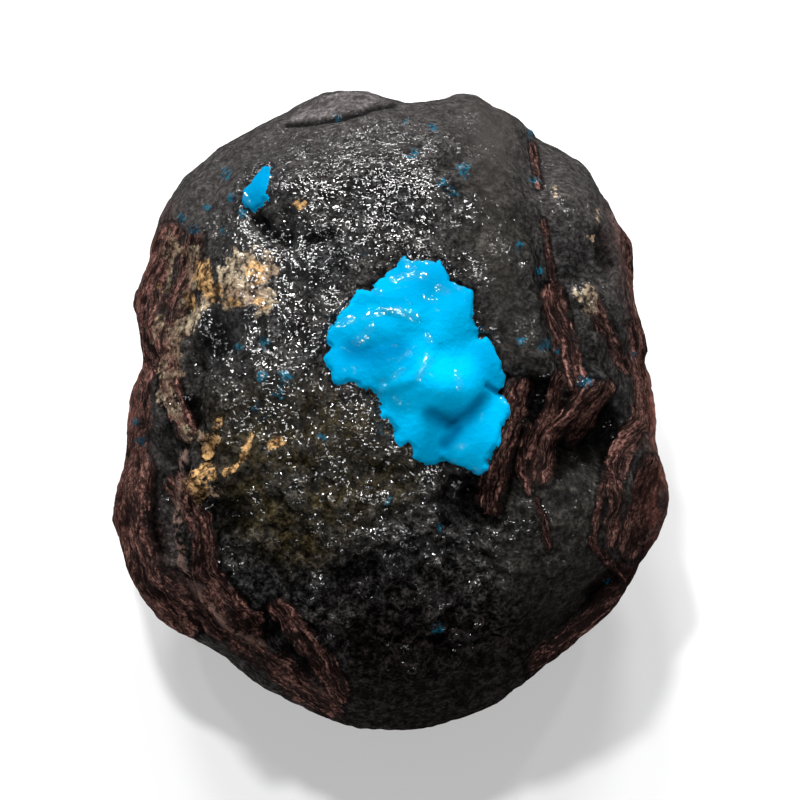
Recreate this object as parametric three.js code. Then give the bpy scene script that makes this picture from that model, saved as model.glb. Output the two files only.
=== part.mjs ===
// Rough turquoise: one nodule, its dark iron-stained skin broken by a window of blue turquoise.
// Millimetres, +Z up. The origin is on the worn flat that the stone rests on, under the middle of its box.
import * as THREE from "three";
import { ImprovedNoise } from "three/addons/math/ImprovedNoise.js";
import { mergeVertices } from "three/addons/utils/BufferGeometryUtils.js";

// Driving sizes, in mm
const STONE_WIDTH = 60; // left to right, as the window faces the viewer
const FACE_DEPTH = 27; // from the middle out to the face with the window
const BACK_DEPTH = 25; // from the middle to the hidden back
const REST_DEPTH = 24.5; // from the middle straight down to the resting flat
const SECTION_POWER = 2.2; // 2 is an ellipse, more is boxier
const BACK_SWELL = 0.22; // the back is this much deeper above, and shallower below
const BOX_MIDDLE = [-0.32, 0.73]; // x, y of the box's middle before the stone is centred

// The photograph that the outline and the forms were read from
const PHOTO_WIDTH_PX = 555; // the stone's width there
const PHOTO_MIDDLE_PX = [392, 411]; // the stone's middle there
const FRAME_MIDDLE_PX = [400, 400];
const VIEW_ELEVATION = 60; // degrees above the table
const VIEW_DISTANCE = 400; // mm from the stone's middle
const PX_PER_MM = PHOTO_WIDTH_PX / STONE_WIDTH;

// The mesh
const SPHERE_DETAIL = 21; // an icosahedron's edge is split into one more than this
const FACE_CROWDING = 0.25; // draws the mesh's points towards the face with the window

// Clockwise from the top, in photo pixels
const OUTLINE_PX = [
  [340, 92], [370, 92], [386, 100], [410, 106], [445, 100], [452, 95], [468, 95], [482, 102], [494, 113],
  [512, 117], [525, 124], [537, 146], [550, 153], [576, 170], [594, 186], [616, 224], [629, 244],
  [633, 265], [633, 300], [646, 336], [645, 362], [645, 396], [647, 436], [657, 458], [668, 485],
  [669, 510], [652, 545], [634, 557], [631, 575], [611, 612], [570, 643], [520, 680], [498, 699],
  [455, 718], [400, 728], [357, 729], [300, 704], [221, 651], [172, 629], [150, 608], [134, 580],
  [123, 543], [115, 525], [114, 500], [128, 461], [129, 440], [133, 390], [140, 378], [150, 373],
  [149, 358], [140, 330], [139, 303], [145, 280], [154, 262], [158, 238], [170, 206], [182, 185],
  [217, 149], [250, 133], [281, 124], [293, 112], [320, 99],
];

const smoothstep = THREE.MathUtils.smoothstep;
const lerp = THREE.MathUtils.lerp;

// The stone stands in its own view frame first: x to the right, y up the photograph, z towards the viewer.
const tilt = THREE.MathUtils.degToRad(90 - VIEW_ELEVATION);
const up = new THREE.Vector3(0, Math.sin(tilt), Math.cos(tilt));

function fromPhoto([x, y]) {
  return new THREE.Vector3((x - PHOTO_MIDDLE_PX[0]) / PX_PER_MM, (PHOTO_MIDDLE_PX[1] - y) / PX_PER_MM, 0);
}

const eye = fromPhoto(FRAME_MIDDLE_PX).setZ(VIEW_DISTANCE);

// How far the outline is from the middle at each whole degree, and the same smoothed out more and more
const outline = OUTLINE_PX.map(fromPhoto)
  .map((p) => ({ angle: Math.atan2(p.y, p.x), reach: p.length() }))
  .sort((a, b) => a.angle - b.angle);

function outlineReach(angle) {
  const next = outline.findIndex((p) => p.angle > angle);
  const b = outline[next < 0 ? 0 : next];
  const a = outline[next <= 0 ? outline.length - 1 : next - 1];
  const turn = (from, to) => THREE.MathUtils.euclideanModulo(to - from, 2 * Math.PI);
  return lerp(a.reach, b.reach, turn(a.angle, angle) / turn(a.angle, b.angle));
}

const DEGREES = 360;
const NOTCH_BLUR = 2; // degrees each way
const FORM_BLUR = 20;
const BODY_BLUR = 65;
const raw = Array.from({ length: DEGREES }, (_, i) => outlineReach(THREE.MathUtils.degToRad(i - 180)));

function blurred(values, spread) {
  return values.map((_, i) => {
    let sum = 0;
    for (let k = -spread; k <= spread; k++) sum += values[(i + k + DEGREES) % DEGREES];
    return sum / (2 * spread + 1);
  });
}

const crisp = blurred(raw, NOTCH_BLUR);
const soft = blurred(raw, FORM_BLUR);
const broad = blurred(raw, BODY_BLUR);

function reachAt(values, angle) {
  const place = THREE.MathUtils.radToDeg(angle) + 180;
  const i = Math.floor(place);
  return lerp(values[i % DEGREES], values[(i + 1) % DEGREES], place - i);
}

// The body without its forms: how far its surface is from the middle along a unit direction
function bodyRadius(d) {
  const angle = Math.atan2(d.y, d.x);
  const side = Math.hypot(d.x, d.y);
  const form = lerp(reachAt(broad, angle), reachAt(soft, angle), smoothstep(side, 0.5, 0.9));
  const rim = lerp(form, reachAt(crisp, angle), smoothstep(side, 0.86, 0.99));
  const depth = d.z > 0 ? FACE_DEPTH : BACK_DEPTH * (1 + BACK_SWELL * d.y);
  const share = Math.pow(side / rim, SECTION_POWER) + Math.pow(Math.abs(d.z) / depth, SECTION_POWER);
  return Math.pow(share, -1 / SECTION_POWER);
}

// The point of the body that the viewer sees at a pixel
function onFace(pixel) {
  const along = fromPhoto(pixel).sub(eye);
  const depthOf = (t) => {
    const p = along.clone().multiplyScalar(t).add(eye);
    return p.length() - bodyRadius(p.clone().normalize());
  };
  let near = 1 - (1.3 * FACE_DEPTH) / VIEW_DISTANCE;
  let far = 1;
  for (let i = 0; i < 40; i++) {
    const half = (near + far) / 2;
    if (depthOf(half) > 0) near = half;
    else far = half;
  }
  return along.multiplyScalar(near).add(eye);
}

// 1 at the middle of a form, 0 from its edge on
function falloff(t) {
  return t < 1 ? (1 - t * t) ** 2 : 0;
}

// A round mound, or a hollow where its height is negative
function mound(pixel, across, height) {
  const middle = onFace(pixel);
  return (p) => height * falloff((2 * p.distanceTo(middle)) / across);
}

// The nearest point of a line of points: how far it is, how far along the line, and on which side p lies
function nearest(line, p) {
  let best = { distance: Infinity };
  line.slice(1).forEach((b, i) => {
    const a = line[i];
    const edge = b.clone().sub(a);
    const t = THREE.MathUtils.clamp(p.clone().sub(a).dot(edge) / edge.lengthSq(), 0, 1);
    const foot = a.clone().addScaledVector(edge, t);
    const distance = foot.distanceTo(p);
    if (distance < best.distance) {
      const side = Math.sign(edge.y * (p.x - a.x) - edge.x * (p.y - a.y));
      best = { distance, along: (i + t) / (line.length - 1), side };
    }
  });
  return best;
}

// A long hollow, or a ridge where its depth is negative
function furrow(pixels, across, depth) {
  const line = pixels.map(onFace);
  return (p) => -depth * falloff((2 * nearest(line, p).distance) / across);
}

// A step down on the right-hand side of a line, seen as it is followed, that fades out within its reach
function ledge(pixels, drop, reach) {
  const line = pixels.map(onFace);
  const LIP = 0.7;
  const END = 0.18;
  return (p) => {
    const { distance, along, side } = nearest(line, p);
    const ends = smoothstep(along, 0, END) * smoothstep(1 - along, 0, END);
    const off = side * distance;
    return -drop * ends * smoothstep(off, -LIP, LIP) * (1 - smoothstep(off, LIP, reach));
  };
}

// The window: a pillow of turquoise that swells through the skin, with its own bosses and dimples
const windowForms = [
  mound([415, 350], 26, 0.8),
  mound([455, 420], 16, 0.5),
  mound([392, 312], 8, 0.35),
  mound([440, 318], 9, 0.3),
  mound([418, 275], 7, 0.3),
  furrow([[356, 354], [376, 357], [398, 352]], 6, 0.35),
  mound([362, 376], 7, 0.25),
  mound([406, 378], 8, 0.4),
  mound([456, 390], 8, 0.9),
  furrow([[430, 416], [452, 425], [474, 413], [486, 394]], 5.6, 0.5),
  furrow([[454, 426], [443, 448]], 5, 0.35),
  mound([487, 362], 6.5, 0.4),
  mound([420, 440], 7.5, 0.35),
  mound([478, 438], 8, 0.4),
];

// The crown above the window, pebbled and wet, with the small blue drop on its left
const crownForms = [
  mound([255, 194], 6, 0.9),
  mound([263, 222], 5, -1.1),
  mound([281, 234], 4.6, -0.9),
  mound([272, 231], 2.6, 0.6),
  furrow([[266, 222], [296, 238], [340, 228]], 6, 0.9),
  furrow([[255, 146], [272, 147]], 3.4, 0.6),
  furrow([[350, 268], [372, 260], [394, 256]], 4, 0.7),
  furrow([[300, 182], [345, 172], [400, 190], [432, 196]], 8, -0.6),
  furrow([[430, 212], [460, 222], [476, 240]], 7, 0.7),
  mound([447, 178], 8, 0.6),
  furrow([[440, 150], [480, 160], [505, 190]], 8, -0.5),
  mound([507, 262], 9, 0.5),
  mound([312, 277], 5, 0.4),
  mound([350, 128], 9, 0.5),
  ledge([[394, 104], [348, 116], [302, 122], [276, 132]], 1.6, 8),
  mound([478, 112], 7, 0.7),
  mound([520, 132], 5, 0.8),
];

const CREST_PX = [
  [340, 696], [294, 668], [254, 638], [222, 604], [198, 572], [188, 545], [194, 505], [200, 470], [210, 430],
];

// The left flank: the pale stained band, its pits, and the crest that stands over the lobe behind it
const leftForms = [
  ledge([[200, 236], [190, 292], [188, 340], [194, 392]], 1.4, 7),
  mound([250, 280], 9, 0.6),
  mound([207, 278], 5, 0.5),
  furrow([[172, 250], [166, 272], [160, 300]], 4.2, 1.3),
  mound([160, 292], 4.4, -0.7),
  mound([172, 280], 4, 0.5),
  furrow([[214, 312], [218, 336], [206, 352]], 6, 1.3),
  mound([213, 366], 7, 0.7),
  furrow([[190, 372], [193, 402], [198, 424]], 5.4, 2.0),
  mound([160, 424], 7, 0.9),
  mound([212, 412], 7, 0.8),
  mound([263, 377], 3.6, 0.6),
  mound([284, 382], 4, 0.6),
  mound([250, 352], 5, 0.5),
  furrow([[246, 424], [268, 432], [300, 424]], 5.5, 0.9),
  mound([208, 452], 4.6, -1.4),
  mound([200, 476], 6, 0.7),
  ledge(CREST_PX, -3.0, 11),
  mound([180, 540], 7, 0.9),
  furrow([[158, 462], [154, 494], [158, 530], [166, 566], [190, 600], [222, 628]], 6, 2.4),
  mound([128, 505], 8, 0.6),
  furrow([[137, 448], [154, 462]], 4.4, 0.9),
];

// The right flank: a valley, the lobe beyond it, the dark hollows below and the smooth dome under them
const rightForms = [
  furrow([[534, 140], [538, 184], [548, 222], [554, 262], [566, 300], [566, 336], [576, 368]], 7.5, 1.7),
  mound([588, 225], 14, 1.0),
  mound([590, 268], 7, -1.1),
  mound([612, 320], 9, 0.7),
  mound([546, 345], 5, 0.6),
  mound([528, 330], 6, 0.4),
  mound([585, 381], 5, 0.9),
  mound([543, 397], 8, -2.4),
  mound([581, 402], 5.4, -1.3),
  mound([535, 422], 5, 1.0),
  mound([608, 412], 9, -0.7),
  mound([620, 424], 4.5, 0.7),
  furrow([[600, 385], [572, 414], [552, 438], [543, 466]], 4.4, -1.1),
  furrow([[520, 408], [507, 446], [492, 488]], 5, -1.0),
  furrow([[560, 452], [582, 450], [604, 448], [622, 438]], 8.5, 3.2),
  furrow([[454, 494], [476, 506], [488, 498]], 6.5, 2.3),
  mound([560, 522], 25, 2.2),
  mound([510, 505], 7, 0.7),
  mound([605, 560], 9, 0.5),
  ledge([[636, 556], [641, 510], [632, 468]], 2.2, 7),
  ledge([[606, 562], [592, 543], [597, 519], [601, 486]], 0.9, 5),
  furrow([[592, 592], [616, 576]], 6, 1.6),
];

// Below the window: coarse slanting shelves and the hollows that stay in shadow
const lowForms = [
  mound([345, 440], 15, 0.9),
  furrow([[322, 486], [366, 474], [410, 482], [446, 478]], 4.6, 1.1),
  furrow([[352, 506], [400, 500], [440, 490]], 4.6, -0.7),
  furrow([[318, 540], [352, 520], [388, 522], [428, 506]], 4.4, 0.9),
  furrow([[300, 556], [352, 534], [392, 536], [440, 512]], 4.6, -0.4),
  mound([443, 519], 4.2, -0.8),
  mound([459, 526], 5, 1.0),
  furrow([[448, 552], [480, 532], [504, 520]], 6, 0.7),
  mound([500, 556], 12, 0.5),
  mound([230, 511], 8, -1.9),
  mound([276, 550], 11, 0.7),
  furrow([[286, 576], [330, 566], [372, 558]], 6, 0.6),
  mound([266, 622], 8, -2.0),
  furrow([[268, 632], [288, 654], [306, 674]], 5, 1.4),
  furrow([[282, 608], [304, 634], [323, 658], [337, 686]], 5, -1.3),
  mound([340, 612], 9, 0.6),
  furrow([[312, 652], [350, 636], [390, 630]], 6, 0.7),
  mound([437, 624], 4, 0.8),
  mound([441, 638], 5.4, -1.6),
  mound([500, 616], 12, 0.6),
  furrow([[500, 652], [536, 640], [560, 640]], 7, 0.7),
  mound([430, 664], 12, 0.8),
  ledge([[376, 694], [429, 682], [479, 664], [510, 654]], 1.6, 8),
];

// The hidden back and underside: broad mounds with a hollow after every two, spread evenly over the far side
const BACK_FORMS = 64;
const GOLDEN_ANGLE = Math.PI * (3 - Math.sqrt(5));
const BACK_ACROSS = 15; // mm, a third less or more from form to form
const BACK_MOUND = 1.5;
const BACK_HOLLOW = -1.7;

function backForm(i) {
  const z = -0.14 - (0.86 * (i + 0.5)) / BACK_FORMS;
  const side = Math.sqrt(1 - z * z);
  const d = new THREE.Vector3(side * Math.cos(i * GOLDEN_ANGLE), side * Math.sin(i * GOLDEN_ANGLE), z);
  const middle = d.multiplyScalar(bodyRadius(d));
  const across = BACK_ACROSS * (1 + 0.33 * Math.sin(7.3 * i));
  const height = (i % 3 === 2 ? BACK_HOLLOW : BACK_MOUND) * (0.7 + 0.3 * Math.cos(4.1 * i));
  return (p) => height * falloff((2 * p.distanceTo(middle)) / across);
}

const backForms = Array.from({ length: BACK_FORMS }, (_, i) => backForm(i));
const forms = [...windowForms, ...crownForms, ...leftForms, ...rightForms, ...lowForms, ...backForms];

// Uneven ground over the whole stone, bolder behind: [wavelength, height in front, height behind] in mm
const SWELLS = [[12, 0.8, 2.0], [5, 0.5, 0.7]];
const KNOBS = [[9, 1.0, 3.2], [4.6, 1.25, 1.6]];
const perlin = new ImprovedNoise();

function sumOfNoise(bands, p, shape) {
  const behind = smoothstep(-p.z, -6, 8);
  return bands.reduce((sum, [wave, front, back], i) => {
    const value = perlin.noise(p.x / wave + 17 * i, p.y / wave, p.z / wave);
    return sum + lerp(front, back, behind) * shape(value);
  }, 0);
}

// Swells are even both ways. Knobs are rounded lumps with creases between them. Both are held back around the
// rim, where the outline's own points already give the lumps.
function unevenness(p) {
  const KNOB_MIDDLE = 0.2;
  const RIM_BAND = 5;
  const RIM_CALM = 0.85;
  const calm = 1 - RIM_CALM * Math.exp(-((p.z / RIM_BAND) ** 2));
  const swells = sumOfNoise(SWELLS, p, (value) => value);
  const knobs = sumOfNoise(KNOBS, p, (value) => Math.abs(value) - KNOB_MIDDLE);
  return calm * (swells + knobs);
}

// The finished surface along a unit direction, cut back to the plane that the stone rests on
function surface(d) {
  const body = d.clone().multiplyScalar(bodyRadius(d));
  const relief = forms.reduce((sum, form) => sum + form(body), unevenness(body));
  const p = d.clone().multiplyScalar(body.length() + relief);
  const below = -p.dot(up);
  return below > REST_DEPTH ? p.multiplyScalar(REST_DEPTH / below) : p;
}

function stoneGeometry() {
  const sphere = new THREE.IcosahedronGeometry(1, SPHERE_DETAIL);
  sphere.deleteAttribute("normal");
  sphere.deleteAttribute("uv");
  const geometry = mergeVertices(sphere, 1e-4);
  const points = geometry.getAttribute("position");
  const d = new THREE.Vector3();
  for (let i = 0; i < points.count; i++) {
    d.fromBufferAttribute(points, i);
    d.z += FACE_CROWDING;
    const p = surface(d.normalize());
    points.setXYZ(i, p.x, p.y, p.z);
  }
  geometry.rotateX(tilt);
  geometry.translate(-BOX_MIDDLE[0], -BOX_MIDDLE[1], REST_DEPTH);
  geometry.computeVertexNormals();
  return geometry;
}

const skin = new THREE.MeshStandardMaterial({ color: 0x35322e, roughness: 0.45, metalness: 0 });
const stone = new THREE.Mesh(stoneGeometry(), skin);
stone.name = "turquoise_nodule";

const part = new THREE.Group();
part.name = "rough_turquoise";
part.add(stone);

export default part;
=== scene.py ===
"""Rough turquoise: the looks of the nodule, its floor, lights and camera. Metres, +Z up."""

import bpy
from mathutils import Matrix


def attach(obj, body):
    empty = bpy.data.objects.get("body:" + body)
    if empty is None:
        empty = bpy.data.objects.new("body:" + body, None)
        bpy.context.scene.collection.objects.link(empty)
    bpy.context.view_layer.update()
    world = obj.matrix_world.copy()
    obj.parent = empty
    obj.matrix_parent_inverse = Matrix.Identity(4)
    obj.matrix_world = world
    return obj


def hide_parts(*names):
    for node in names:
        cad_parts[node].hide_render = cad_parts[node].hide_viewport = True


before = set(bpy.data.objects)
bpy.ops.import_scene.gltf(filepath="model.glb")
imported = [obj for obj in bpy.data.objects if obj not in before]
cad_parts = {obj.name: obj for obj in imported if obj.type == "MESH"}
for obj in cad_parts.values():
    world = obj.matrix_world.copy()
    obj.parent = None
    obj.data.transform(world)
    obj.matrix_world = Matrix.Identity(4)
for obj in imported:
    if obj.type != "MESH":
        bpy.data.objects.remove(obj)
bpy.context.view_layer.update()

import math

import bpy
import numpy as np
from mathutils import Vector, noise

MM = 0.001

# The photograph's camera, as in part.mjs
PHOTO_PX = 800
STONE_WIDTH = 60 * MM
STONE_WIDTH_PX = 555
STONE_MIDDLE_PX = (392, 411)
FRAME_MIDDLE_PX = (400, 400)
REST_DEPTH = 24.5 * MM
BOX_MIDDLE = (-0.32 * MM, 0.73 * MM)
VIEW_ELEVATION = math.radians(60)
VIEW_DISTANCE = 400 * MM
SENSOR_MM = 36
PX = STONE_WIDTH / STONE_WIDTH_PX  # metres in a pixel, at the stone's middle

MIDDLE = np.array([-BOX_MIDDLE[0], -BOX_MIDDLE[1], REST_DEPTH])
RIGHT = np.array([1.0, 0.0, 0.0])
UP = np.array([0.0, math.sin(VIEW_ELEVATION), math.cos(VIEW_ELEVATION)])
TOWARDS = np.array([0.0, -math.cos(VIEW_ELEVATION), math.sin(VIEW_ELEVATION)])
AIM_X = (FRAME_MIDDLE_PX[0] - STONE_MIDDLE_PX[0]) * PX
AIM_Y = (STONE_MIDDLE_PX[1] - FRAME_MIDDLE_PX[1]) * PX

# What shows where, in photograph pixels. Outlines run clockwise.
WINDOW_PX = [
    (403, 256), (414, 260), (426, 260), (438, 262), (448, 271), (450, 280), (459, 284), (471, 290),
    (474, 296), (473, 310), (474, 323), (477, 329), (479, 338), (487, 339), (496, 348), (501, 361),
    (505, 374), (503, 387), (496, 393), (506, 397), (511, 406), (509, 414), (503, 426), (501, 437),
    (494, 451), (487, 462), (489, 469), (482, 477), (476, 477), (471, 470), (464, 467), (453, 465),
    (443, 460), (433, 465), (423, 464), (414, 457), (413, 449), (408, 444), (401, 446), (396, 442),
    (396, 431), (390, 422), (383, 416), (380, 406), (380, 397), (373, 392), (361, 390), (355, 384),
    (348, 382), (340, 384), (333, 383), (330, 371), (324, 359), (331, 348), (327, 343), (328, 331),
    (334, 323), (340, 315), (348, 305), (358, 291), (366, 290), (371, 292), (376, 281), (390, 271),
    (398, 263),
]
DROP_PX = [
    (263, 167), (270, 166), (271, 176), (266, 187), (267, 197), (262, 206), (254, 211), (246, 208),
    (242, 199), (243, 189), (251, 183), (258, 174),
]
LENS_PX = [
    (286, 122), (300, 108), (324, 96), (350, 91), (376, 95), (392, 102), (372, 105), (345, 114), (318, 119),
]
SPECKS_PX = [
    (479, 329, 3.4), (338, 118, 2.5), (226, 173, 4), (232, 198, 3), (242, 213, 3), (194, 231, 4),
    (224, 231, 2.5), (182, 219, 3.5), (208, 208, 3), (266, 343, 6), (238, 346, 3.5), (263, 376, 5),
    (284, 376, 6), (281, 394, 6), (258, 407, 3.5), (266, 420, 2.5), (323, 438, 3.5), (139, 441, 5),
    (136, 422, 3.5), (387, 503, 3), (434, 129, 4), (406, 121, 3), (414, 156, 4), (464, 171, 6),
    (443, 184, 4), (452, 192, 3), (535, 181, 3.5), (531, 134, 4), (519, 245, 4), (540, 271, 4),
    (546, 345, 5), (557, 350, 3), (522, 341, 3), (584, 382, 6), (633, 354, 3), (441, 527, 3), (437, 627, 6),
    (610, 582, 3),
]

# Stains, places and bands: each is a line of pixels, and how far it spreads from the line
CREAM_PX = [
    ([(236, 268), (250, 264), (262, 268)], 15), ([(232, 290), (252, 290), (264, 300)], 13),
    ([(226, 276), (230, 300)], 9), ([(164, 252), (178, 250), (192, 252)], 5),
    ([(194, 250), (190, 283), (184, 310), (174, 336), (166, 372)], 6),
    ([(207, 296), (194, 316), (180, 337)], 6), ([(166, 372), (166, 396), (174, 408)], 8),
    ([(170, 256), (166, 290)], 4), ([(172, 408), (188, 434)], 6), ([(160, 318), (152, 340)], 4),
    ([(176, 350), (178, 372)], 5), ([(209, 492), (216, 492)], 5), ([(580, 296), (589, 293), (590, 306)], 7),
    ([(588, 237), (594, 237)], 3), ([(555, 187), (556, 196)], 2), ([(597, 210), (599, 220)], 2),
    ([(200, 436), (205, 446)], 5), ([(170, 236), (176, 246)], 5),
]
OCHRE_PX = [
    ([(203, 268), (205, 282), (213, 292)], 8), ([(250, 272), (258, 264), (256, 280)], 6),
    ([(228, 302), (240, 304)], 4), ([(258, 300), (264, 306)], 4), ([(192, 486), (198, 478), (206, 470)], 9),
    ([(206, 452), (212, 440)], 6), ([(228, 472), (238, 462), (248, 446), (250, 436)], 4),
    ([(270, 443), (280, 441)], 5), ([(298, 205), (303, 205)], 4), ([(203, 492), (199, 498)], 6),
    ([(189, 296), (192, 306)], 5), ([(214, 430), (220, 420)], 3), ([(160, 284), (162, 292)], 3),
]
OLIVE_PX = [([(262, 432), (350, 440)], 46), ([(330, 500), (390, 470)], 34), ([(250, 500), (300, 540)], 30)]
WET_PX = [
    ([(290, 150), (340, 150), (400, 146)], 32), ([(280, 190), (350, 200), (404, 204)], 38),
    ([(240, 230), (300, 250)], 32), ([(402, 123), (420, 127)], 7), ([(455, 116), (478, 126)], 9),
    ([(484, 150), (492, 155)], 5), ([(404, 160), (414, 174)], 9), ([(412, 178), (438, 194)], 11),
    ([(428, 218), (436, 232)], 7), ([(444, 212), (453, 222)], 7), ([(402, 220), (418, 252)], 12),
    ([(552, 182), (558, 196)], 5), ([(572, 180), (588, 190)], 6), ([(592, 206), (600, 217)], 5),
    ([(494, 244), (522, 266)], 8), ([(512, 322), (540, 343)], 10), ([(600, 334), (607, 343)], 5),
    ([(580, 290), (590, 300)], 8), ([(470, 262), (486, 280)], 8), ([(290, 300), (330, 320)], 34),
    ([(300, 320), (310, 390)], 24), ([(232, 330), (262, 400), (320, 410)], 34),
    ([(350, 400), (390, 440)], 20), ([(340, 470), (400, 490), (440, 490)], 24),
    ([(300, 508), (318, 524), (338, 540)], 9), ([(390, 520), (412, 542), (440, 556)], 8),
    ([(346, 518), (372, 534), (386, 518), (404, 500)], 10), ([(250, 500), (262, 524)], 8),
    ([(360, 560), (400, 568)], 6), ([(300, 480), (330, 494)], 10), ([(470, 110), (480, 150)], 8),
    ([(400, 470), (440, 476)], 12), ([(480, 580), (510, 555)], 10), ([(240, 265), (265, 300)], 16),
    ([(355, 250), (400, 240)], 16), ([(330, 620), (340, 640)], 8),
    ([(352, 548), (380, 560), (404, 548)], 8), ([(420, 590), (440, 600)], 8), ([(300, 570), (320, 580)], 7),
    ([(458, 540), (470, 560)], 8), ([(365, 590), (385, 600)], 6),
]
SMOOTH_PX = [
    ([(488, 130), (494, 215), (512, 330)], 24), ([(560, 490), (575, 560)], 42),
    ([(520, 560), (540, 600)], 26),
]
# Hollows, sunk a little into the mesh and painted black as painted shade
HOLLOW_SHADE_PX = [
    ([(462, 498), (484, 508)], 17), ([(566, 452), (600, 448)], 17), ([(543, 392), (546, 400)], 14),
    ([(581, 400), (582, 404)], 10), ([(190, 402), (193, 418)], 9), ([(206, 448), (207, 454)], 6),
    ([(262, 620), (268, 632)], 13), ([(284, 650), (304, 670)], 9),
    ([(258, 218), (270, 232), (286, 238)], 6), ([(306, 240), (330, 234)], 4),
    ([(224, 508), (232, 514)], 14), ([(441, 636), (442, 644)], 9), ([(594, 592), (614, 576)], 8),
    ([(148, 476), (152, 520), (158, 548)], 9), ([(212, 330), (218, 344)], 13),
    ([(166, 258), (163, 284)], 6), ([(515, 476), (530, 424), (572, 412), (602, 424)], 17),
    ([(560, 470), (580, 440)], 12), ([(288, 125), (318, 122), (345, 117), (372, 108), (394, 104)], 2.5),
    ([(340, 578), (372, 566)], 9), ([(443, 516), (445, 522)], 7), ([(160, 600), (196, 628)], 8),
    ([(600, 236), (606, 262)], 8),
]

# A pale line along the edge of the left-hand ridge
CREST_PX = [
    ([(184, 452), (180, 480), (178, 500), (178, 530), (181, 562), (201, 598), (230, 628), (262, 646)], 2.8),
]

# Under the right-hand dome, where no light falls
SHADE_PX = [([(650, 562), (604, 604), (560, 640), (500, 684)], 26)]

# Places of the blue that get painted shade, in its folds and under its domes, and how much. Then those that
# get a painted pool of light, and those that glint.
PAINTED_BLUE_SHADE_PX = [
    ([(432, 413), (452, 425), (468, 417), (480, 403)], 8, 0.75),
    ([(448, 424), (458, 428), (446, 444)], 6, 1.0), ([(352, 352), (376, 356), (398, 350)], 13, 0.9),
    ([(488, 388), (500, 394)], 4, 0.8), ([(262, 174), (254, 200)], 14, 0.7),
    ([(408, 268), (436, 280)], 22, 0.5), ([(488, 350), (490, 376)], 14, 0.4),
    ([(334, 340), (350, 374)], 18, 0.35), ([(476, 330), (470, 300)], 6, 0.3),
    ([(414, 440), (440, 452)], 9, 0.25),
]
PAINTED_BLUE_LIGHT_PX = [([(438, 362), (474, 388)], 36), ([(430, 400), (410, 416)], 10)]
GLINT_PX = [
    ([(366, 316), (387, 312), (404, 313), (416, 318)], 4), ([(356, 343), (366, 334), (372, 328)], 4),
    ([(338, 324), (352, 321)], 4), ([(428, 358), (427, 366), (419, 377)], 4), ([(404, 370), (394, 377)], 3),
    ([(384, 380), (379, 396)], 3), ([(395, 398), (399, 402)], 3), ([(456, 376), (458, 386)], 4),
    ([(500, 398), (508, 402)], 4), ([(425, 299), (434, 303)], 3), ([(438, 290), (446, 294)], 4),
    ([(376, 292), (381, 294)], 3), ([(393, 281), (406, 278), (424, 277)], 4), ([(400, 258), (412, 262)], 3),
    ([(422, 262), (432, 264)], 3), ([(452, 281), (460, 290)], 3), ([(503, 370), (504, 376)], 2),
    ([(450, 463), (454, 461)], 3), ([(476, 470), (484, 474)], 4), ([(458, 446), (464, 444)], 3),
    ([(247, 196), (250, 204)], 3), ([(426, 336), (430, 340)], 3), ([(408, 268), (414, 270)], 3),
]

# Bands of parallel wrinkles, which run along them
RUST_PX = [
    ([(520, 392), (508, 423), (501, 454), (490, 500)], 13), ([(530, 425), (522, 471), (530, 492)], 4),
    ([(536, 500), (545, 522), (548, 546)], 3), ([(592, 392), (568, 416), (549, 440), (542, 474)], 11),
    ([(607, 388), (589, 423), (572, 440)], 7), ([(560, 378), (548, 415), (532, 455)], 7),
    ([(638, 330), (645, 380), (643, 423), (621, 450), (614, 474)], 11),
    ([(650, 466), (643, 500), (634, 524), (630, 548)], 10), ([(602, 486), (597, 519), (592, 543)], 4),
    ([(596, 548), (609, 562), (624, 578)], 4), ([(618, 598), (590, 622), (566, 644), (540, 662)], 13),
    ([(532, 146), (538, 186)], 4), ([(544, 222), (550, 262), (556, 290)], 3),
    ([(552, 296), (562, 334), (574, 380)], 11), ([(594, 300), (606, 330), (626, 366)], 7),
    ([(630, 236), (634, 290), (648, 350)], 7), ([(612, 470), (618, 500), (612, 540)], 8),
    ([(170, 236), (150, 285), (144, 325), (156, 362)], 12),
    ([(148, 368), (141, 430), (128, 470), (118, 503)], 8),
    ([(130, 470), (126, 530), (140, 580), (176, 622)], 20),
    ([(178, 486), (200, 519), (205, 548), (206, 574), (228, 604), (250, 628)], 12),
    ([(172, 584), (215, 622), (256, 652), (292, 682), (330, 710)], 12),
    ([(280, 610), (304, 640), (323, 664), (338, 692)], 11),
    ([(196, 240), (180, 292), (168, 344), (170, 388), (186, 432)], 9),
]


def smoothstep(x, low, high):
    t = np.clip((x - low) / (high - low), 0, 1)
    return t * t * (3 - 2 * t)


def view_axes(points):
    """Points as seen by the photograph's camera: right, up and towards it from the stone's middle."""
    local = points - MIDDLE
    return local @ RIGHT, local @ UP, local @ TOWARDS


def to_photo(points):
    """The pixel of the photograph where each point shows, and its height towards the camera."""
    x, y, z = view_axes(points)
    grow = VIEW_DISTANCE / (VIEW_DISTANCE - z)
    px = FRAME_MIDDLE_PX[0] + (x - AIM_X) * grow / PX
    py = FRAME_MIDDLE_PX[1] - (y - AIM_Y) * grow / PX
    return np.stack([px, py], 1), z


def to_segment(px, a, b):
    """Distance of each pixel place from the straight line a to b."""
    a = np.array(a, float)
    edge = np.array(b, float) - a
    t = np.clip((px - a) @ edge / max(edge @ edge, 1e-9), 0, 1)
    return np.linalg.norm(px - a - t[:, None] * edge, axis=1)


def inside(px, outline):
    """How far inside an outline each pixel place is, in pixels. Outside is below zero."""
    closed = outline[1:] + outline[:1]
    distance = np.full(len(px), np.inf)
    crossed = np.zeros(len(px), bool)
    for a, b in zip(outline, closed):
        distance = np.minimum(distance, to_segment(px, a, b))
        if a[1] != b[1]:
            between = (a[1] > px[:, 1]) != (b[1] > px[:, 1])
            at = a[0] + (px[:, 1] - a[1]) * (b[0] - a[0]) / (b[1] - a[1])
            crossed ^= between & (px[:, 0] < at)
    return np.where(crossed, distance, -distance)


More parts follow.
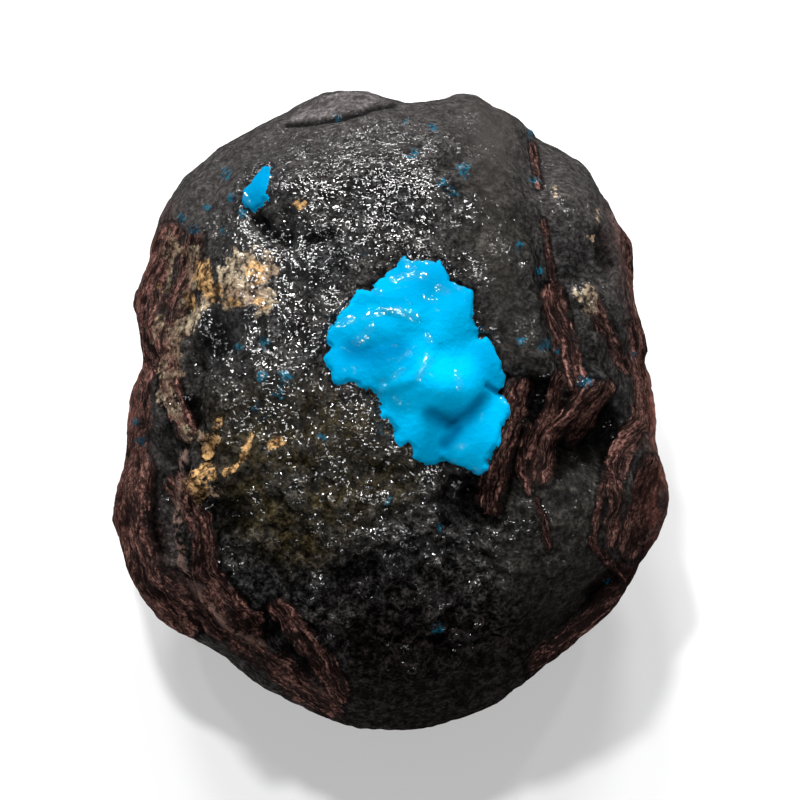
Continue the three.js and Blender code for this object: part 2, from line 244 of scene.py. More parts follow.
def to_line(px, line):
    """For each pixel place: its distance from a line of pixels, and how far it is to the side of and along
    the nearest stretch, which is taken to go on past both its ends."""
    distance = np.full(len(px), np.inf)
    across = np.zeros(len(px))
    along = np.zeros(len(px))
    passed = 0.0
    for a, b in zip(line, line[1:]):
        new = to_segment(px, a, b)
        length = math.dist(a, b)
        turned = (px[:, 0] - a[0]) * (b[1] - a[1]) - (px[:, 1] - a[1]) * (b[0] - a[0])
        ahead = (px[:, 0] - a[0]) * (b[0] - a[0]) + (px[:, 1] - a[1]) * (b[1] - a[1])
        nearer = new < distance
        distance = np.where(nearer, new, distance)
        across = np.where(nearer, turned / length, across)
        along = np.where(nearer, passed + ahead / length, along)
        passed += length
    return distance, across, along


def spread(px, shapes, edge=0.6):
    """1 along each line of pixels, fading to 0 around the distance that it spreads."""
    value = np.zeros(len(px))
    for line, reach in shapes:
        distance, _, _ = to_line(px, line)
        value = np.maximum(value, 1 - smoothstep(distance / reach, 1 - edge, 1 + edge))
    return value


def groove(px, line, width, depth):
    """A furrow along a line of pixels, width in pixels and depth in mm. A negative depth makes a ridge."""
    distance, _, _ = to_line(px, line)
    t = np.clip(2 * distance / width, 0, 1)
    return -depth * (1 - t * t) ** 2


def grain_noise(points, wave, basis="PERLIN_ORIGINAL"):
    """Smooth noise, about -1 to 1, with features of about wave metres."""
    return np.array([noise.noise(Vector(p), noise_basis=basis) for p in points / wave])


def knobs(points, wave):
    """Rounded lumps with creases between them, 0 in the creases."""
    return np.abs(grain_noise(points, wave))


# The stone's mesh


def welded(node):
    """The CAD node's corners, each once, and its triangles."""
    mesh = node.data
    co = np.zeros(len(mesh.vertices) * 3)
    mesh.vertices.foreach_get("co", co)
    corners, index = np.unique(co.reshape(-1, 3).round(7), axis=0, return_inverse=True)
    mesh.calc_loop_triangles()
    triangles = np.zeros(len(mesh.loop_triangles) * 3, int)
    mesh.loop_triangles.foreach_get("vertices", triangles)
    triangles = index.reshape(-1)[triangles].reshape(-1, 3)
    kept = (triangles != np.roll(triangles, 1, axis=1)).all(1)
    return corners, triangles[kept]


def edges_of(triangles):
    """Each edge once, and for every triangle the edges from its corners 0, 1 and 2 to the next."""
    sides = np.stack([triangles, np.roll(triangles, -1, axis=1)], 2).reshape(-1, 2)
    edges, index = np.unique(np.sort(sides, axis=1), axis=0, return_inverse=True)
    return edges, index.reshape(-1, 3)


def split_in_four(triangles, middles):
    a, b, c = triangles.T
    ab, bc, ca = middles.T
    return np.concatenate([np.stack(t, 1) for t in [(a, ab, ca), (b, bc, ab), (c, ca, bc), (ab, bc, ca)]])


def loop_subdivided(points, triangles):
    """One step of Loop's subdivision of a closed mesh."""
    edges, index = edges_of(triangles)
    wings = np.zeros((len(edges), 3))
    for side in range(3):
        np.add.at(wings, index[:, side], points[triangles[:, (side + 2) % 3]])
    on_edges = 3 / 8 * points[edges].sum(1) + wings / 8
    count = np.bincount(edges.reshape(-1), minlength=len(points))[:, None]
    around = np.zeros_like(points)
    np.add.at(around, edges[:, 0], points[edges[:, 1]])
    np.add.at(around, edges[:, 1], points[edges[:, 0]])
    share = np.where(count == 3, 3 / 16, 3 / (8 * count))
    moved = (1 - count * share) * points + share * around
    return np.concatenate([moved, on_edges]), split_in_four(triangles, index + len(points))


def refined(points, triangles, wanted):
    """Splits in four the triangles with a wanted corner, and fits their neighbours to them."""
    edges, index = edges_of(triangles)
    split = np.zeros(len(edges), bool)
    split[index[wanted[triangles].any(1)]] = True
    number = np.cumsum(split) - 1 + len(points)
    points = np.concatenate([points, points[edges[split]].mean(1)])
    marks = split[index]
    middles = number[index]
    count = marks.sum(1)
    parts = [triangles[count == 0], split_in_four(triangles[count == 3], middles[count == 3])]
    for first in range(3):
        order = [(first + k) % 3 for k in range(3)]
        corners = triangles[:, order]
        mids = middles[:, order]
        marked = marks[:, order]
        one = (count == 1) & marked[:, 0]
        a, b, c = corners[one].T
        ab = mids[one, 0]
        parts += [np.stack([a, ab, c], 1), np.stack([ab, b, c], 1)]
        two = (count == 2) & marked[:, 0] & marked[:, 1]
        a, b, c = corners[two].T
        ab, bc, _ = mids[two].T
        parts += [np.stack([ab, b, bc], 1), np.stack([a, ab, bc], 1), np.stack([a, bc, c], 1)]
    return points, np.concatenate(parts)


def normals_of(points, triangles):
    a, b, c = points[triangles.T]
    across = np.cross(b - a, c - a)
    normals = np.zeros_like(points)
    for side in range(3):
        np.add.at(normals, triangles[:, side], across)
    return normals / np.linalg.norm(normals, axis=1)[:, None]


def blue_depth(px, z):
    """How far inside the window or the drop each place is, in metres, below zero outside."""
    depth = np.maximum(inside(px, WINDOW_PX), inside(px, DROP_PX)) * PX
    return np.where(z > 0, depth, -1)


SUBDIVISIONS = 2
EDGE_BAND = 1.2 * MM  # this near the edge of the blue the mesh is split once more

points, triangles = welded(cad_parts["turquoise_nodule"])
for _ in range(SUBDIVISIONS):
    points, triangles = loop_subdivided(points, triangles)
px, z = to_photo(points)
points, triangles = refined(points, triangles, np.abs(blue_depth(px, z)) < EDGE_BAND)

px, z = to_photo(points)
normals = normals_of(points, triangles)
x_side, y_side, _ = view_axes(points)
front = smoothstep(z, -1 * MM, 3 * MM)  # 1 where the photograph shows the stone, 0 behind
behind = smoothstep(-z, 2 * MM, 9 * MM)

# How far inside the blue, in mm, with a ragged edge
blue = blue_depth(px, z) / MM + 0.28 * grain_noise(points, 1.1 * MM) + 0.16 * grain_noise(points, 0.5 * MM)
in_blue = smoothstep(blue, -0.1, 0.3)

# How far inside the nearest speck, in mm
FAR_OUTSIDE = -9.0
specks = np.full(len(points), FAR_OUTSIDE)
for x, y, radius in SPECKS_PX:
    specks = np.maximum(specks, (radius - np.linalg.norm(px - (x, y), axis=1)) * PX / MM)
specks = np.where(front > 0, specks + 0.22 * grain_noise(points, 1.4 * MM), FAR_OUTSIDE)

wet = spread(px, WET_PX) * front
smooth = spread(px, SMOOTH_PX, 0.95) * front
rust = spread(px, RUST_PX, 0.9) * front
hollow_with_painted_shade = spread(px, HOLLOW_SHADE_PX, 0.7) * front

# Wrinkles run around the view axis, parallel to the stone's outline, and along the rusty bands.
# A place's grain is how far across them it is, and then how far along them, in mm.
MEAN_RADIUS = 30  # of the stone, in mm
BAND_REACH = 1.3  # a band's own grain goes this many times its reach
BANDS_APART = 5.0  # so that no two bands have the same wrinkles
turn = np.arctan2(y_side, x_side)  # around the view axis
slope = np.arctan2(np.hypot(x_side, y_side), z)  # away from it
grain = np.stack([slope * MEAN_RADIUS, np.cos(turn) * MEAN_RADIUS, np.sin(turn) * MEAN_RADIUS], 1)
nearest_band = np.full(len(points), BAND_REACH)
for number, (line, reach) in enumerate(RUST_PX):
    distance, across, along = to_line(px, line)
    own = (distance / reach < nearest_band) & (front > 0)
    nearest_band[own] = (distance / reach)[own]
    apart = np.full(len(points), BANDS_APART * number)
    grain[own] = np.stack([across * PX / MM, along * PX / MM, apart], 1)[own]
WRINKLE_WIDTH = 1.0  # mm
WRINKLE_LENGTH = 4.5
strands = grain_noise(grain / (WRINKLE_WIDTH, WRINKLE_LENGTH, WRINKLE_LENGTH), 1.0)

# The height of the fine relief over the CAD surface, in mm
LUMP_HEIGHT = 0.5
PEBBLE_HEIGHT = 0.32
GRIT_HEIGHT = 0.2
WRINKLE_HEIGHT = 0.38
DARK_DEPTH = 0.35
BLUE_HEIGHT = 0.36
MOAT_DEPTH = 0.3
SPECK_HEIGHT = 0.16
SWELL_HEIGHT = 0.7
CREASE = 0.2  # where a knob's noise is below this it sinks

lump = knobs(points, 3.2 * MM) - CREASE
pebble = knobs(points + 0.07, 1.5 * MM) - CREASE
grit = grain_noise(points, 0.9 * MM)

rim = smoothstep(slope, math.radians(46), math.radians(68)) * (1 - smoothstep(slope, 1.7, 2.1))
rougher_low = 1.4 * smoothstep(px[:, 1], 430, 530) * front * (1 - rim)
rough = (1 + rougher_low + 0.8 * behind) * (1 - 0.45 * rim)
not_blue = 1 - in_blue
skin = not_blue * (1 - 0.3 * smooth) * rough
height = skin * (1 - 0.6 * rust) * (1 - 0.3 * wet) * (LUMP_HEIGHT * lump + PEBBLE_HEIGHT * pebble)
height += skin * GRIT_HEIGHT * grit
height += rust * not_blue * (1 - 0.5 * rim) * WRINKLE_HEIGHT * strands
height -= hollow_with_painted_shade * not_blue * DARK_DEPTH

# The window stands a little proud, with a rounded edge and a thin groove around it
height += BLUE_HEIGHT * np.sqrt(np.clip(blue / 0.5, 0, 1)) * in_blue
height -= MOAT_DEPTH * np.exp(-(((blue + 0.25) / 0.22) ** 2))
height += 0.15 * in_blue * grain_noise(points, 4.5 * MM) + 0.1 * in_blue * grain_noise(points, 2.0 * MM)
height += in_blue * (
    groove(px, [(432, 415), (452, 425), (470, 416), (482, 402)], 24, 0.3)
    + groove(px, [(455, 426), (444, 446)], 18, 0.25)
    + groove(px, [(486, 386), (500, 394)], 9, 0.35)
    + groove(px, [(371, 312), (392, 309), (417, 316)], 14, -0.12)
    + groove(px, [(429, 358), (414, 379), (384, 390)], 16, -0.15)
)
height += SPECK_HEIGHT * np.sqrt(np.clip(specks / 0.35, 0, 1))
height += SWELL_HEIGHT * behind * grain_noise(points, 6.5 * MM)

points = points + normals * (height * MM)[:, None]
points[:, 2] = np.maximum(points[:, 2], 0)

mesh = bpy.data.meshes.new("stone")
mesh.from_pydata(points.tolist(), [], triangles.tolist())
mesh.polygons.foreach_set("use_smooth", np.ones(len(triangles), bool))
stone = bpy.data.objects.new("stone", mesh)
bpy.context.scene.collection.objects.link(stone)


def store(name, values):
    """A number for each point of the mesh, which the material reads by its name."""
    mesh.attributes.new(name, "FLOAT", "POINT").data.foreach_set("value", values.astype(np.float32))


store("blue", np.clip(blue, -3, 3))
store("speck", np.clip(specks, -3, 3))
store("cream", spread(px, CREAM_PX, 0.9) * front)
store("ochre", spread(px, OCHRE_PX, 0.9) * front)
store("olive", spread(px, OLIVE_PX, 0.9) * front)
store("wet", wet)
store("smooth", smooth)
store("rust", rust)
store("hollow_with_painted_shade", hollow_with_painted_shade)
store("lens", smoothstep(inside(px, LENS_PX), -1.2, 1.2) * front)
# Painted shade and painted light on the blue
painted_blue_shade = np.zeros(len(points))
for line, reach, share in PAINTED_BLUE_SHADE_PX:
    painted_blue_shade = np.maximum(painted_blue_shade, share * spread(px, [(line, reach)], 1.0))
store("painted_blue_shade", painted_blue_shade)
store("painted_blue_light", spread(px, PAINTED_BLUE_LIGHT_PX, 1.0))
store("glint", spread(px, GLINT_PX, 0.6))
store("crest", spread(px, CREST_PX, 0.9) * front)
store("height", height / rough)
store("shown", front)

# Painted shade: the stone's colour darkens towards the bottom of the photograph, less so on the left
lowness = px[:, 1] + 90 * smoothstep(slope, 0.7, 1.3) + 25 * (1 - smoothstep(px[:, 0], 420, 480))
painted_low_shade = np.maximum(smoothstep(lowness, 530, 690), spread(px, SHADE_PX, 0.8)) * front
painted_low_shade *= 1 - 0.75 * (1 - smoothstep(px[:, 0], 300, 370))
store("painted_low_shade", painted_low_shade)
store("low", smoothstep(px[:, 1], 450, 600) * front)
store("rim", rim)

# Painted red reflection: the sides of the stone, left and right of the photograph, are redder
sideways = smoothstep(np.abs(np.cos(turn)), 0.68, 1.0)
store("painted_red_reflection", rim * smoothstep(slope, math.radians(60), math.radians(80)) * sideways)
stored = mesh.attributes.new("grain", "FLOAT_VECTOR", "POINT").data
stored.foreach_set("vector", grain.astype(np.float32).reshape(-1))


# Materials


BUMP_DEPTH = 0.4 * MM


class Nodes:
    """Short calls for a material's nodes."""

    def __init__(self, name):
        self.material = bpy.data.materials.new(name)
        self.material.use_nodes = True
        self.tree = self.material.node_tree
        self.shader = self.tree.nodes["Principled BSDF"]

    def add(self, kind, inputs=(), **settings):
        node = self.tree.nodes.new(kind)
        for name, value in settings.items():
            setattr(node, name, value)
        for name, value in dict(inputs).items():
            if isinstance(value, bpy.types.NodeSocket):
                self.tree.links.new(value, node.inputs[name])
            else:
                node.inputs[name].default_value = value
        return node

    def math(self, operation, a, b=0.0, c=0.0):
        node = self.tree.nodes.new("ShaderNodeMath")
        node.operation = operation
        for socket, value in zip(node.inputs, (a, b, c)):
            if isinstance(value, bpy.types.NodeSocket):
                self.tree.links.new(value, socket)
            else:
                socket.default_value = value
        return node.outputs[0]

    def vector_math(self, operation, a, b):
        return self.add("ShaderNodeVectorMath", {0: a, 1: b}, operation=operation).outputs[0]

    def times(self, vector, scale):
        return self.add("ShaderNodeVectorMath", {0: vector, "Scale": scale}, operation="SCALE").outputs[0]

    def value(self, name):
        return self.add("ShaderNodeAttribute", attribute_name=name).outputs["Fac"]

    def vector(self, name):
        return self.add("ShaderNodeAttribute", attribute_name=name).outputs["Vector"]

    def place(self):
        return self.add("ShaderNodeTexCoord").outputs["Object"]

    def scaled(self, vector, scale):
        return self.add("ShaderNodeMapping", {"Vector": vector, "Scale": scale}).outputs["Vector"]

    def noise(self, vector, scale, detail=3.0, roughness=0.55, as_vector=False):
        inputs = {"Vector": vector, "Scale": scale, "Detail": detail, "Roughness": roughness}
        return self.add("ShaderNodeTexNoise", inputs).outputs["Color" if as_vector else "Fac"]

    def step(self, value, low, high, to_low=0.0, to_high=1.0):
        inputs = {"Value": value, "From Min": low, "From Max": high, "To Min": to_low, "To Max": to_high}
        node = self.add("ShaderNodeMapRange", inputs, interpolation_type="SMOOTHSTEP")
        return node.outputs["Result"]

    def mix(self, share, a, b):
        node = self.tree.nodes.new("ShaderNodeMix")
        node.data_type = "RGBA"
        for socket, value in ((node.inputs[0], share), (node.inputs[6], a), (node.inputs[7], b)):
            if isinstance(value, bpy.types.NodeSocket):
                self.tree.links.new(value, socket)
            elif isinstance(value, tuple):
                socket.default_value = (*value, 1)
            else:
                socket.default_value = value
        return node.outputs[2]

    def bump(self, height):
        inputs = {"Height": height, "Strength": 1.0, "Distance": BUMP_DEPTH}
        return self.add("ShaderNodeBump", inputs).outputs["Normal"]

    def link(self, socket, name):
        self.tree.links.new(socket, self.shader.inputs[name])


def srgb(*channels):
    """A colour of red, green and blue from 0 to 255, as the linear values that Blender takes."""
    shares = [value / 255 for value in channels]
    return tuple(s / 12.92 if s <= 0.04045 else ((s + 0.055) / 1.055) ** 2.4 for s in shares)


SKIN = srgb(31, 31, 32)
SKIN_BROWNER = srgb(42, 40, 38)
SKIN_DARKER = srgb(16, 15, 15)
# Painted shade in pits and painted light on high spots
PAINTED_PIT_SHADE = srgb(7, 6, 6)
PAINTED_TOP_LIGHT = srgb(68, 66, 63)
OLIVE = srgb(41, 35, 21)
WORN_SKIN = srgb(54, 51, 47)
LENS = srgb(52, 48, 49), srgb(100, 94, 95)
# Painted sheen along the outline
PAINTED_RIM_SHEEN = srgb(66, 63, 62)
# Painted shade, low on the stone
PAINTED_SHADE_SKIN = srgb(12, 6, 6)
# Painted shade in the hollows
PAINTED_SHADE_BLACK = srgb(4, 4, 4)
# A painted red reflection on the sides, and the same in painted shade
PAINTED_RED_REFLECTION = srgb(124, 80, 71)
PAINTED_RED_REFLECTION_IN_SHADE = srgb(38, 14, 14)
CLAY = srgb(52, 42, 34), srgb(176, 160, 134)
BROWNER_CLAY = srgb(40, 29, 24), srgb(142, 114, 94)
OCHRE = srgb(58, 42, 27), srgb(198, 156, 104)
RUST = srgb(56, 39, 35)
# Painted shade in the gaps between wrinkles, and painted light on their ridges
PAINTED_GAP_SHADE = srgb(9, 7, 7)
PAINTED_LIT_FIBRE = srgb(76, 50, 45), srgb(146, 106, 97)
CREST = srgb(138, 110, 100)
SPECK = srgb(3, 32, 42), srgb(9, 88, 112)
TURQUOISE = srgb(0, 139, 184), srgb(0, 149, 196)
# A painted pool of light on the blue, and painted shade in its folds
PAINTED_LIT_TURQUOISE = srgb(0, 162, 211)
PAINTED_SHADE_TURQUOISE = srgb(0, 98, 142)


def skin_colour(m, place, height):
    """Dark iron-stained skin, olive in places, with painted light and shade: paler on high spots, black in
    pits and hollows, darker low down, paler grey at the outline as a painted sheen, and redder at the sides
    as a painted red reflection.
    """
    wide = m.noise(place, 160, 4)
    middle = m.noise(place, 700, 4)
    colour = m.mix(m.step(wide, 0.35, 0.65), SKIN, SKIN_BROWNER)
    colour = m.mix(m.step(middle, 0.35, 0.7, 0.0, 0.7), colour, SKIN_DARKER)
    # Painted shade in the pits of the relief and painted light on its high spots
    colour = m.mix(m.step(height, 0.0, -0.3, 0.0, 0.85), colour, PAINTED_PIT_SHADE)
    colour = m.mix(m.step(height, 0.1, 0.4, 0.0, 0.45), colour, PAINTED_TOP_LIGHT)
    olive = m.math("MULTIPLY", m.value("olive"), m.step(middle, 0.3, 0.6, 0.3, 0.9))
    colour = m.mix(olive, colour, OLIVE)
    colour = m.mix(m.math("MULTIPLY", m.value("smooth"), 0.4), colour, WORN_SKIN)
    lens = m.mix(m.step(m.noise(place, 420, 5, 0.65), 0.36, 0.6), *LENS)
    colour = m.mix(m.math("MULTIPLY", m.value("lens"), 0.9), colour, lens)
    # Painted sheen, paler grey along the outline
    colour = m.mix(m.math("MULTIPLY", m.value("rim"), 0.5), colour, PAINTED_RIM_SHEEN)
    # Painted shade, darker towards the bottom
    colour = m.mix(m.math("MULTIPLY", m.value("painted_low_shade"), 0.75), colour, PAINTED_SHADE_SKIN)
    # Painted shade, black in the hollows
    colour = m.mix(m.math("MULTIPLY", m.value("hollow_with_painted_shade"), 0.8), colour, PAINTED_SHADE_BLACK)
    # Painted red reflection on the sides, broken into blotches, darker in the painted shade
    blotches = m.step(m.noise(place, 260, 4), 0.38, 0.58, 0.15, 1.0)
    painted_reflection_colour = m.mix(m.value("painted_low_shade"), PAINTED_RED_REFLECTION, PAINTED_RED_REFLECTION_IN_SHADE)
    return m.mix(m.math("MULTIPLY", m.value("painted_red_reflection"), blotches), colour, painted_reflection_colour)


HALF = (0.5, 0.5, 0.5)


def wrinkles(m, place):
    """The height of the fine, wavy, parallel wrinkles in the rusty bands, about 0.45 to 0.75."""
    sway = m.vector_math("SUBTRACT", m.noise(place, 260, 3, as_vector=True), HALF)
    grain = m.vector_math("ADD", m.vector("grain"), m.times(sway, 1.8))
    strands = m.noise(m.scaled(grain, (1.9, 0.28, 0.28)), 1.0, 3, 0.6)
    threads = m.noise(m.scaled(grain, (4.5, 0.7, 0.7)), 1.0, 4, 0.65)
    return m.math("MULTIPLY_ADD", threads, 0.6, m.math("MULTIPLY", strands, 0.6))


def stain(m, place, mask, bead_number, full):
    """A patch of separate grains with a ragged edge, from a mask that falls off slowly."""
    blots = m.noise(place, 850, 5, 0.7)
    ragged = m.math("MULTIPLY_ADD", blots, 3.4, m.math("MULTIPLY_ADD", bead_number, 0.4, -1.95))
    within = m.step(mask, 0.02, 0.3)
    return m.math("MULTIPLY", within, m.step(m.math("ADD", mask, ragged), 0.35, 0.7, 0.0, full))


def stone_material():
    m = Nodes("stone")
    place = m.place()
    height = m.value("height")
    fine = m.noise(place, 2600, 3)
    pebbles = m.noise(place, 1000, 4, 0.6)
    beads = m.add("ShaderNodeTexVoronoi", {"Vector": place, "Scale": 1900})
    bead_number = m.math("MULTIPLY", beads.outputs["Color"], 1.0)  # a number of its own for each bead
    colour = skin_colour(m, place, height)
    # Painted light and shade of the fine relief: darker in the creases of its grain and pebbles and paler on
    # their tops, more so low down; the tone also differs at random
    grain = m.math("MULTIPLY", m.step(fine, 0.34, 0.66, 0.5, 1.7), m.step(pebbles, 0.38, 0.62, 0.5, 1.6))
    quiet = m.math("MULTIPLY_ADD", m.value("smooth"), -0.5, m.math("MULTIPLY_ADD", m.value("rim"), -0.4, 1.0))
    grain = m.math("MULTIPLY_ADD", m.math("SUBTRACT", grain, 1.0), quiet, 1.0)
    grain = m.math("POWER", grain, m.math("MULTIPLY_ADD", m.value("low"), 0.6, 1.0))
    colour = m.times(colour, grain)

    # The pale clay and the ochre
    hidden = m.math("SUBTRACT", 1.0, m.value("shown"))
    back_stain = m.math("MULTIPLY", hidden, m.step(m.noise(place, 75, 3), 0.58, 0.75))
    cream = stain(m, place, m.math("MAXIMUM", m.value("cream"), back_stain), bead_number, 0.9)
    # The clay's and ochre's grains: paler on the pebbles' tops and darker in the gaps between beads, as
    # painted light and shade
    grains = m.math("MULTIPLY_ADD", pebbles, 1.1, m.math("MULTIPLY", fine, 0.3))
    grains = m.math("MULTIPLY_ADD", bead_number, 0.2, grains)
    grains = m.math("SUBTRACT", grains, m.step(beads.outputs["Distance"], 0.4, 0.65, 0.0, 0.1))
    grain_tops = m.step(grains, 0.56, 0.92)
    clay = m.mix(grain_tops, *CLAY)
    browner = m.math("MULTIPLY", m.step(m.noise(place, 300, 3), 0.4, 0.6), 0.7)
    clay = m.mix(browner, clay, m.mix(grain_tops, *BROWNER_CLAY))
    colour = m.mix(cream, colour, clay)
    ochre = stain(m, place, m.value("ochre"), bead_number, 0.9)
    colour = m.mix(ochre, colour, m.mix(m.step(grains, 0.6, 0.94), *OCHRE))

    # Reddish wrinkles with black gaps, on the photograph's bands and in patches over the hidden side
    patches = m.math("MULTIPLY", hidden, m.step(m.noise(place, 60, 2), 0.45, 0.6))
    torn = m.math("MULTIPLY_ADD", m.noise(place, 420, 4, 0.6), 2.0, -1.0)
    banded = m.math("MAXIMUM", m.value("rust"), patches)
    rust = m.math("MULTIPLY", m.step(m.math("ADD", banded, torn), 0.1, 0.8), m.step(banded, 0.05, 0.5))
    rust = m.math("MULTIPLY", rust, m.math("MULTIPLY_ADD", m.value("painted_low_shade"), -0.35, 1.0))
    strands = wrinkles(m, place)
    thinned = m.math("MULTIPLY_ADD", rust, 0.12, m.math("ADD", strands, -0.12))
    # Painted light on the wrinkles' ridges and painted shade in their gaps
    lit_ridges = m.step(thinned, 0.54, 0.69)
    shaded_gaps = m.step(strands, 0.6, 0.52)
    painted_lit_fibres = m.mix(m.step(fine, 0.4, 0.62), *PAINTED_LIT_FIBRE)
    over_clay = m.math("MULTIPLY_ADD", m.math("MAXIMUM", cream, ochre), -0.85, 1.0)
    rust = m.math("MULTIPLY", rust, over_clay)
    colour = m.mix(m.math("MULTIPLY", rust, 0.6), colour, RUST)
    colour = m.mix(m.math("MULTIPLY", m.math("MULTIPLY", rust, shaded_gaps), 0.8), colour, PAINTED_GAP_SHADE)
    colour = m.mix(m.math("MULTIPLY", m.step(rust, 0.0, 0.4), lit_ridges), colour, painted_lit_fibres)
    pale_crest = m.math("MULTIPLY", m.value("crest"), m.step(pebbles, 0.42, 0.56, 0.0, 0.75))
    colour = m.mix(pale_crest, colour, CREST)

    # Blue: specks are dull, the window and the drop are bright
    speck = m.math("MULTIPLY_ADD", m.noise(place, 1900, 4, 0.65), 2.6, -1.3)
    speck = m.step(m.math("ADD", m.value("speck"), speck), -0.15, 0.2)
    colour = m.mix(m.math("MULTIPLY", speck, 0.85), colour, m.mix(grain_tops, *SPECK))
    edge = m.math("MULTIPLY_ADD", m.noise(place, 1500, 4, 0.6), 1.2, -0.6)
    blue = m.step(m.math("ADD", m.value("blue"), edge), -0.03, 0.03)
    turquoise = m.mix(m.step(m.noise(place, 160, 4), 0.3, 0.7), *TURQUOISE)
    # A painted pool of light on the blue's dome
    turquoise = m.mix(m.value("painted_blue_light"), turquoise, PAINTED_LIT_TURQUOISE)
    # Painted shade in the blue's folds and under its domes
    turquoise = m.mix(m.value("painted_blue_shade"), turquoise, PAINTED_SHADE_TURQUOISE)
    colour = m.mix(blue, colour, turquoise)
    m.link(colour, "Base Color")

    # A dusty skin under a film of water, which lies in patches on the wet places and where the blue glints
    puddles = m.step(m.noise(place, 330, 4), 0.34, 0.5)
    few = m.math("MULTIPLY", m.step(m.noise(place, 240, 3), 0.5, 0.6), m.step(bead_number, 0.55, 0.6))
    few = m.math("MAXIMUM", few, m.math("MULTIPLY", hidden, m.step(m.noise(place, 120, 4), 0.5, 0.6)))
    film = m.math("MAXIMUM", m.math("MULTIPLY", m.value("wet"), puddles), few)
    film = m.math("MULTIPLY", film, m.math("MULTIPLY_ADD", rust, -0.9, 1.0))
    for name, share in (("rim", 0.75), ("smooth", 0.6), ("hollow_with_painted_shade", 0.8), ("painted_low_shade", 0.4)):
        film = m.math("MULTIPLY", film, m.math("MULTIPLY_ADD", m.value(name), -share, 1.0))
    film = m.math("MAXIMUM", film, m.math("MULTIPLY", speck, 0.4))
    wet_blue = m.math("MULTIPLY_ADD", m.step(m.value("glint"), 0.1, 0.7), 0.95, 0.004)
    film = m.math("MULTIPLY", film, m.math("SUBTRACT", 1.0, blue))
    film = m.math("ADD", film, m.math("MULTIPLY", wet_blue, blue))
    tops = m.math("MULTIPLY_ADD", m.math("SUBTRACT", m.step(height, -0.02, 0.06), 1.0), m.value("low"), 1.0)
    film = m.math("MULTIPLY", film, tops)
    m.link(film, "Coat Weight")
    m.link(m.math("MULTIPLY_ADD", m.noise(place, 420, 3), 0.3, 0.5), "Roughness")
    m.shader.inputs["Specular IOR Level"].default_value = 0.0
    m.shader.inputs["Coat Roughness"].default_value = 0.06
    m.shader.inputs["Coat IOR"].default_value = 1.6

    # Grain too fine for the mesh
    skin_bump = m.math("MULTIPLY_ADD", fine, 0.4, m.math("MULTIPLY", pebbles, 1.4))
    skin_bump = m.math("MULTIPLY", skin_bump, m.math("MULTIPLY_ADD", m.value("smooth"), -0.3, 1.0))
    skin_bump = m.math("MULTIPLY", skin_bump, m.math("MULTIPLY_ADD", m.value("low"), 0.8, 1.0))
    ridged = m.math("MULTIPLY", m.step(strands, 0.54, 0.72), banded)
    skin_bump = m.math("MULTIPLY_ADD", ridged, 1.5, skin_bump)
    ripples = m.math("MULTIPLY", m.noise(place, 1500, 2), 0.22)
    blue_bump = m.math("MULTIPLY_ADD", m.noise(place, 420, 2), 0.35, ripples)
    in_blue = m.step(m.value("blue"), -0.2, 0.2)
    not_blue = m.math("SUBTRACT", 1.0, in_blue)
    bump = m.math("ADD", m.math("MULTIPLY", skin_bump, not_blue), m.math("MULTIPLY", blue_bump, in_blue))
    m.link(m.bump(bump), "Normal")

    # The film's own surface: each bead leans its own way, and is rounded
    lean = m.vector_math("SUBTRACT", beads.outputs["Color"], HALF)
    from_middle = m.vector_math("SUBTRACT", place, beads.outputs["Position"])
    facet = m.add("ShaderNodeVectorMath", {0: lean, 1: from_middle}, operation="DOT_PRODUCT").outputs["Value"]
    bead = m.math("MULTIPLY", beads.outputs["Distance"], beads.outputs["Distance"])
    bead = m.math("MULTIPLY_ADD", bead, -0.4, m.math("MULTIPLY", m.noise(place, 700, 2, 0.4), 0.9))
    bead = m.math("MULTIPLY_ADD", facet, m.math("MULTIPLY_ADD", m.value("low"), 1.6 / MM, 1.0 / MM), bead)
    beaded_blue = m.math("MULTIPLY_ADD", facet, 2.2 / MM, m.math("MULTIPLY", m.noise(place, 700, 1), 0.5))
    beaded_blue = m.math("MULTIPLY", beaded_blue, m.value("glint"))
    beaded_blue = m.math("MULTIPLY_ADD", blue_bump, 0.6, beaded_blue)
    beaded_blue = m.math("MULTIPLY_ADD", m.value("glint"), 0.4, beaded_blue)
    film_bump = m.math("ADD", m.math("MULTIPLY", bead, not_blue), m.math("MULTIPLY", beaded_blue, in_blue))
    m.link(m.bump(film_bump), "Coat Normal")
    return m.material


mesh.materials.append(stone_material())
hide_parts("turquoise_nodule")
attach(stone, "root")


# Floor, lights and camera


def floor_material():
    m = Nodes("floor")
    tone = m.mix(m.noise(m.place(), 3, 2), (0.44, 0.44, 0.44), (0.46, 0.46, 0.46))
    m.link(tone, "Base Color")
    m.link(tone, "Emission Color")
    m.shader.inputs["Emission Strength"].default_value = 0.9
    m.shader.inputs["Roughness"].default_value = 0.8
    m.shader.inputs["Specular IOR Level"].default_value = 0.2
    return m.material


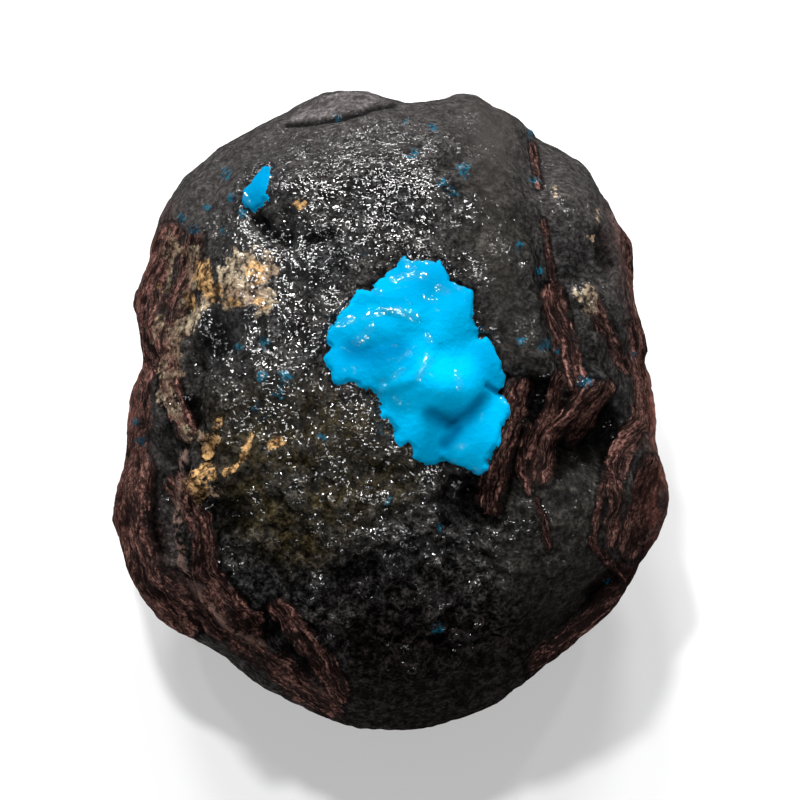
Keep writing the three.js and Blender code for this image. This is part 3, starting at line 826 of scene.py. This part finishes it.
FLOOR_SIZE = 4.0
bpy.ops.mesh.primitive_plane_add(size=FLOOR_SIZE, location=(0, 0, 0))
floor = bpy.context.object
floor.name = "floor"
floor.data.materials.append(floor_material())
floor.visible_glossy = False


LAMP_DISTANCE = 0.6


def lamp(name, direction, size, power, only_glints=False):
    """A round softbox in a direction from the stone, facing it. One that is only for glints
    shows in the film of water and doesn't light the rest."""
    light = bpy.data.lights.new(name, "AREA")
    light.shape = "DISK"
    light.size = size
    light.energy = power
    holder = bpy.data.objects.new(name, light)
    way = Vector(direction).normalized()
    holder.location = Vector(MIDDLE) + way * LAMP_DISTANCE
    holder.rotation_euler = way.to_track_quat("Z", "Y").to_euler()
    holder.visible_diffuse = not only_glints
    bpy.context.scene.collection.objects.link(holder)


for side in (-0.34, -0.06, 0.24):
    lamp("back", (side, 0.63, 0.77), 0.12, 1.6)
lamp("top", (-0.15, 0.08, 1.0), 0.05, 2.7)
lamp("left", (-0.6, 0.35, 1.0), 0.035, 0.4)
lamp("right", (0.55, 0.5, 1.0), 0.035, 0.4)
lamp("front", (0.1, -0.8, 0.75), 0.11, 0.35)
for side in (-0.35, 0.0, 0.35):
    lamp("low front", (side, -0.9, 0.5), 0.08, 0.8, only_glints=True)
for side in (-0.4, 0.3):
    lamp("low back", (side, 0.95, 0.35), 0.08, 0.8, only_glints=True)

world = bpy.data.worlds.new("studio")
bpy.context.scene.world = world
world.use_nodes = True
world.node_tree.nodes["Background"].inputs["Color"].default_value = (0.95, 0.97, 1.0, 1)
world.node_tree.nodes["Background"].inputs["Strength"].default_value = 0.16

camera_data = bpy.data.cameras.new("camera")
camera_data.sensor_width = SENSOR_MM
camera_data.lens = SENSOR_MM * VIEW_DISTANCE / (PHOTO_PX * PX)
camera = bpy.data.objects.new("camera", camera_data)
camera.location = Vector(MIDDLE + AIM_X * RIGHT + AIM_Y * UP + VIEW_DISTANCE * TOWARDS)
camera.rotation_euler = Vector(TOWARDS).to_track_quat("Z", "Y").to_euler()
bpy.context.scene.collection.objects.link(camera)
bpy.context.scene.camera = camera
bpy.context.scene.view_settings.view_transform = "Standard"

bpy.context.view_layer.update()
